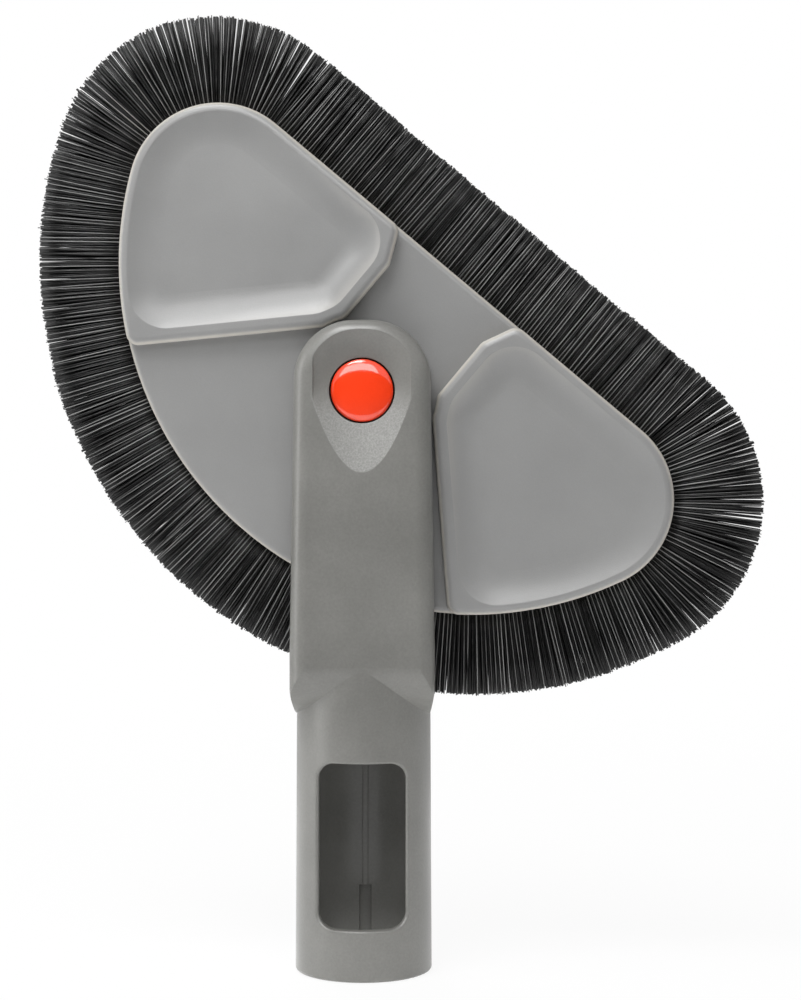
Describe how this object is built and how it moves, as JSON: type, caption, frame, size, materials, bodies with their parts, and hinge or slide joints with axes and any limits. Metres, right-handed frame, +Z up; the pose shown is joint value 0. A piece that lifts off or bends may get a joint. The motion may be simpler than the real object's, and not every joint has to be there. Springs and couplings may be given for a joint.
{
  "type": "crevice brush",
  "caption": "Flat D-shaped brush head, bristled all round, that swivels and locks in a forked arm with a push button, on a push-on pole socket.",
  "frame": {"origin": "centre of the pole socket's mouth", "axes": "+Z up the handle from the socket's mouth, -Y the side with the button, +X to the right seen from the button's side"},
  "size_m": [0.1809, 0.034, 0.2382],
  "materials": {
    "handle_plastic": "fine satin grain",
    "shell_plastic": "smooth satin",
    "button_plastic": "polished",
    "lock_plastic": "satin",
    "washer_plastic": "satin",
    "frame_plastic": "satin",
    "steel": "bright zinc",
    "bristle_nylon": "satin filament"
  },
  "bodies": {
    "handle": {"handle_body": "handle_plastic", "rear_cap": "handle_plastic", "return_spring": "steel"},
    "button": {"push_button": "button_plastic", "lock_gear": "lock_plastic", "button_screw": "steel"},
    "head": {"front_shell": "shell_plastic", "rear_shell": "shell_plastic", "core_frame": "frame_plastic", "hub_gear": "lock_plastic", "front_washer": "washer_plastic", "rear_washer": "washer_plastic", "shell_pins": "frame_plastic", "bristles_straight_left": "bristle_nylon", "bristles_straight_right": "bristle_nylon", "bristles_end_left": "bristle_nylon", "bristles_end_right": "bristle_nylon", "bristles_belly_left": "bristle_nylon", "bristles_belly_middle": "bristle_nylon", "bristles_belly_right": "bristle_nylon"}
  },
  "joints": [
    {"name": "head_pivot", "type": "hinge", "parent": "handle", "child": "head", "pos_m": [0, 0, 0.1443], "axis": [0, -1, 0], "range_deg": [0, 80]},
    {"name": "button_press", "type": "slide", "parent": "handle", "child": "button", "axis": [0, 1, 0], "range_m": [0, 0.0032], "stiffness_N_per_m": 800, "springref_m": -0.005, "deforming": ["return_spring"]}
  ]
}
